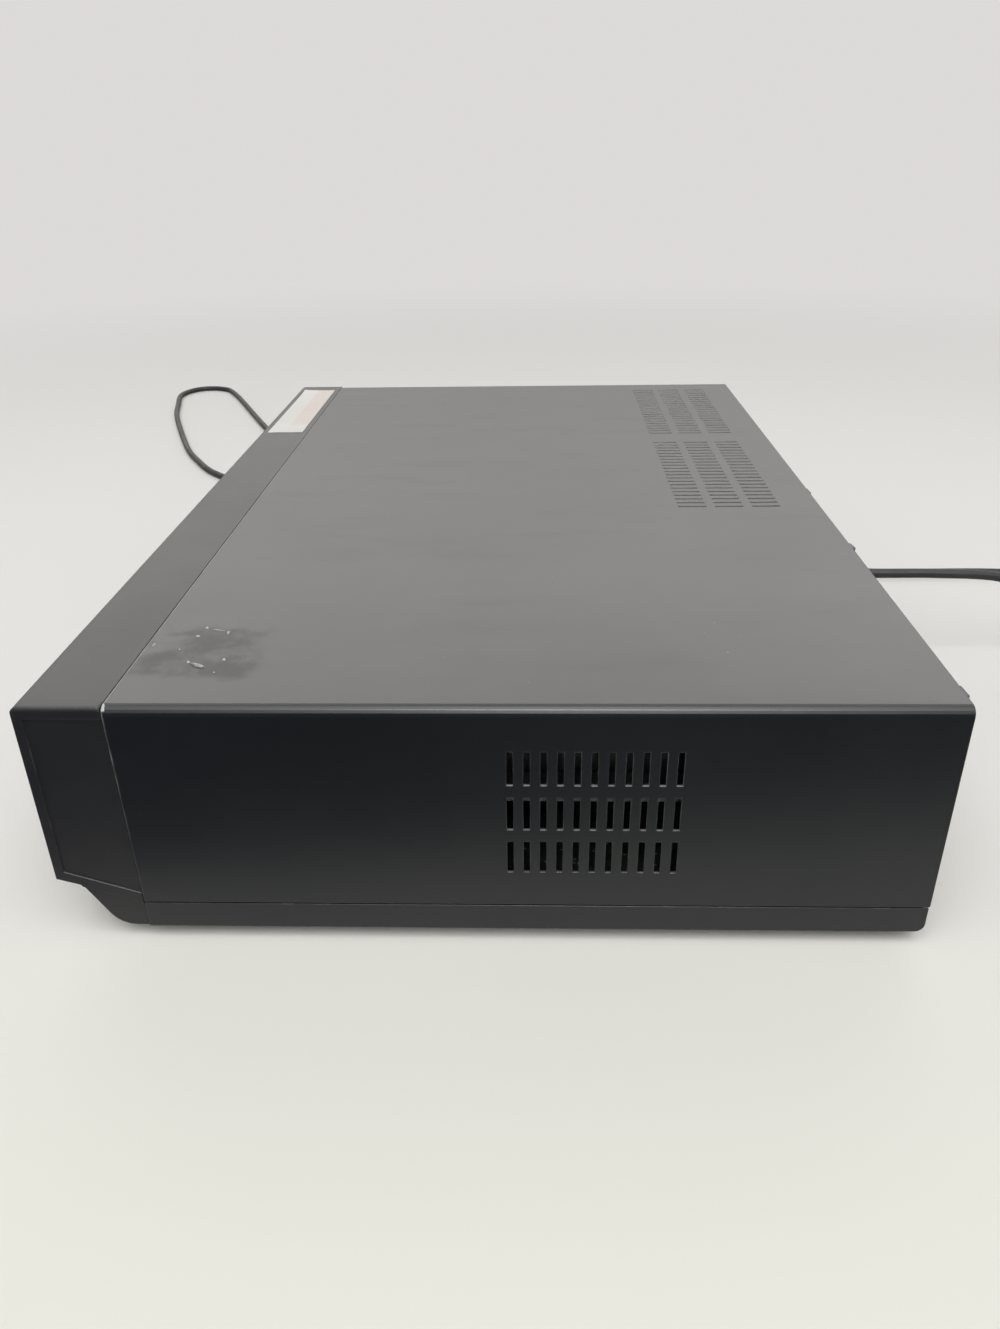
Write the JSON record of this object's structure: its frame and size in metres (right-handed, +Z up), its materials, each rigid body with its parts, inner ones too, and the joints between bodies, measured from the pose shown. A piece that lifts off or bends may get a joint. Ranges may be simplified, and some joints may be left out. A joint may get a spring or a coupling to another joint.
{
  "type": "dvd video cassette recorder combo",
  "caption": "Disc player and video cassette recorder in one dark metal casing, with an opening disc tray, a hinged cassette door, keys, working tape and disc drives and a mains lead.",
  "frame": {"origin": "on the surface the feet stand on, under the middle of the casing and its rear sockets", "axes": "+X to the right of someone facing the front, -Y out of the front face, +Z up"},
  "size_m": [0.8307, 0.6999, 0.0893],
  "materials": {
    "case_steel": "dark grey satin paint",
    "rubber": "black, satin",
    "case_plastic": "dark grey fine grain",
    "smoked_window": "smoked, polished",
    "key_plastic": "grey satin",
    "board": "brown laminate",
    "black_plastic": "black moulded",
    "zinc_steel": "zinc plated",
    "drum_alloy": "machined",
    "white_plastic": "off-white moulded",
    "socket_metal": "plated"
  },
  "bodies": {
    "chassis": {"top_cover": "case_steel", "base_pan": "case_steel", "foot_front_left": "rubber", "foot_front_right": "rubber", "foot_rear_left": "rubber", "foot_rear_right": "rubber", "front_bezel": "case_plastic", "rear_panel": "case_steel", "display_window": "smoked_window", "front_board": "board", "front_sockets": "black_plastic", "carriage_frame": "zinc_steel", "deck_plate": "zinc_steel", "lower_drum": "drum_alloy", "erase_head": "drum_alloy", "sound_head": "drum_alloy", "loading_motor": "black_plastic", "loader_bracket": "zinc_steel", "loader_frame": "black_plastic", "clamp_bridge": "zinc_steel", "loader_motor": "black_plastic", "loader_belt": "rubber", "main_board": "board", "power_board": "board", "disc_sockets": "black_plastic", "tape_sockets": "black_plastic", "tuner_can": "socket_metal", "cord_grip": "rubber", "mains_cord": "rubber", "mains_plug": "rubber"},
    "tape_door": {"cassette_door": "case_plastic"},
    "carriage": {"carriage_yoke": "zinc_steel"},
    "basket": {"cassette_basket": "drum_alloy"},
    "supply_reel_table": {"supply_reel": "white_plastic"},
    "takeup_reel_table": {"takeup_reel": "white_plastic"},
    "drum": {"upper_drum": "drum_alloy"},
    "capstan_shaft": {"capstan": "drum_alloy"},
    "pinch_lever": {"pinch_arm": "zinc_steel"},
    "pinch_wheel": {"pinch_roller": "rubber"},
    "supply_loader": {"supply_guide": "zinc_steel"},
    "takeup_loader": {"takeup_guide": "zinc_steel"},
    "tension_lever": {"tension_arm": "zinc_steel"},
    "tray": {"disc_tray": "black_plastic", "tray_lid": "case_plastic"},
    "tray_pinion": {"tray_gear": "white_plastic"},
    "traverse": {"traverse_frame": "black_plastic"},
    "disc_table": {"turntable": "black_plastic"},
    "sled": {"laser_sled": "drum_alloy"},
    "clamp": {"disc_clamp": "white_plastic"},
    "power_key": {"power_button": "key_plastic"},
    "eject_key": {"eject_button": "key_plastic"},
    "rewind_key": {"rewind_button": "key_plastic"},
    "play_key": {"play_button": "key_plastic"},
    "forward_key": {"forward_button": "key_plastic"},
    "stop_key": {"stop_button": "key_plastic"},
    "record_key": {"record_button": "key_plastic"},
    "open_close_key": {"open_close_button": "key_plastic"},
    "disc_play_key": {"disc_play_button": "key_plastic"},
    "disc_stop_key": {"disc_stop_button": "key_plastic"}
  },
  "joints": [
    {"name": "door_swing", "type": "hinge", "parent": "chassis", "child": "tape_door", "pos_m": [-0.10405, -0.1433, 0.078], "axis": [1, 0, 0], "range_deg": [0, 85], "stiffness_Nm_per_rad": 0.003},
    {"name": "carriage_in", "type": "slide", "parent": "chassis", "child": "carriage", "axis": [0, 1, 0], "range_m": [0, 0.087]},
    {"name": "carriage_down", "type": "slide", "parent": "carriage", "child": "basket", "axis": [0, 0, -1], "range_m": [0, 0.019]},
    {"name": "supply_reel_spin", "type": "hinge", "parent": "chassis", "child": "supply_reel_table", "pos_m": [-0.15005, -0.0383, 0.0208], "axis": [0, 0, 1], "continuous": true},
    {"name": "takeup_reel_spin", "type": "hinge", "parent": "chassis", "child": "takeup_reel_table", "pos_m": [-0.05805, -0.0383, 0.0208], "axis": [0, 0, 1], "continuous": true},
    {"name": "drum_spin", "type": "hinge", "parent": "chassis", "child": "drum", "pos_m": [-0.10405, 0.0557, 0.0205], "axis": [-0.104, 0, 0.9946], "continuous": true},
    {"name": "capstan_spin", "type": "hinge", "parent": "chassis", "child": "capstan_shaft", "pos_m": [-0.03605, 0.0227, 0.0208], "axis": [0, 0, 1], "continuous": true},
    {"name": "pinch_swing", "type": "hinge", "parent": "chassis", "child": "pinch_lever", "pos_m": [-0.01605, 0.0417, 0.0208], "axis": [0, 0, 1], "range_deg": [0, 35], "stiffness_Nm_per_rad": 0.01},
    {"name": "pinch_spin", "type": "hinge", "parent": "pinch_lever", "child": "pinch_wheel", "pos_m": [-0.03831, 0.04421, 0.0208], "axis": [0, 0, 1], "continuous": true},
    {"name": "takeup_loading", "type": "hinge", "parent": "chassis", "child": "takeup_loader", "pos_m": [-0.09255, 0.03528, 0.0208], "axis": [0, 0, 1], "range_deg": [0, 93.56]},
    {"name": "supply_loading", "type": "hinge", "parent": "chassis", "child": "supply_loader", "pos_m": [-0.11555, 0.03528, 0.0208], "axis": [0, 0, 1], "range_deg": [-93.56, 0]},
    {"name": "tension_swing", "type": "hinge", "parent": "chassis", "child": "tension_lever", "pos_m": [-0.18405, 0.0377, 0.0208], "axis": [0, 0, 1], "range_deg": [-7, 7], "stiffness_Nm_per_rad": 0.01},
    {"name": "tray_slide", "type": "slide", "parent": "chassis", "child": "tray", "axis": [0, -1, 0], "range_m": [0, 0.136]},
    {"name": "tray_pinion_turn", "type": "hinge", "parent": "chassis", "child": "tray_pinion", "pos_m": [0.07645, -0.0998, 0.065], "axis": [0, 0, 1], "range_deg": [0, 743]},
    {"name": "traverse_tilt", "type": "hinge", "parent": "chassis", "child": "traverse", "pos_m": [0.122, 0.019, 0.0605], "axis": [1, 0, 0], "range_deg": [0, 3]},
    {"name": "disc_spin", "type": "hinge", "parent": "traverse", "child": "disc_table", "pos_m": [0.122, -0.072, 0.073], "axis": [0, 0, 1], "continuous": true},
    {"name": "sled_slide", "type": "slide", "parent": "traverse", "child": "sled", "axis": [0, 1, 0], "range_m": [0, 0.035]},
    {"name": "clamp_spin", "type": "hinge", "parent": "chassis", "child": "clamp", "pos_m": [0.122, -0.072, 0.075], "axis": [0, 0, 1], "continuous": true},
    {"name": "power_press", "type": "slide", "parent": "chassis", "child": "power_key", "axis": [0, 1, 0], "range_m": [0, 0.0008], "stiffness_N_per_m": 250},
    {"name": "eject_press", "type": "slide", "parent": "chassis", "child": "eject_key", "axis": [0, 1, 0], "range_m": [0, 0.0008], "stiffness_N_per_m": 250},
    {"name": "rewind_press", "type": "slide", "parent": "chassis", "child": "rewind_key", "axis": [0, 1, 0], "range_m": [0, 0.0008], "stiffness_N_per_m": 250},
    {"name": "play_press", "type": "slide", "parent": "chassis", "child": "play_key", "axis": [0, 1, 0], "range_m": [0, 0.0008], "stiffness_N_per_m": 250},
    {"name": "forward_press", "type": "slide", "parent": "chassis", "child": "forward_key", "axis": [0, 1, 0], "range_m": [0, 0.0008], "stiffness_N_per_m": 250},
    {"name": "stop_press", "type": "slide", "parent": "chassis", "child": "stop_key", "axis": [0, 1, 0], "range_m": [0, 0.0008], "stiffness_N_per_m": 250},
    {"name": "record_press", "type": "slide", "parent": "chassis", "child": "record_key", "axis": [0, 1, 0], "range_m": [0, 0.0008], "stiffness_N_per_m": 250},
    {"name": "open_close_press", "type": "slide", "parent": "chassis", "child": "open_close_key", "axis": [0, 1, 0], "range_m": [0, 0.0008], "stiffness_N_per_m": 250},
    {"name": "disc_play_press", "type": "slide", "parent": "chassis", "child": "disc_play_key", "axis": [0, 1, 0], "range_m": [0, 0.0008], "stiffness_N_per_m": 250},
    {"name": "disc_stop_press", "type": "slide", "parent": "chassis", "child": "disc_stop_key", "axis": [0, 1, 0], "range_m": [0, 0.0008], "stiffness_N_per_m": 250}
  ],
  "couplings": [
    {"joint": "supply_loading", "follows": "takeup_loading", "ratio": -1},
    {"joint": "tray_pinion_turn", "follows": "tray_slide", "rad_per_m": 95.238},
    {"joint": "clamp_spin", "follows": "disc_spin", "ratio": 1}
  ]
}
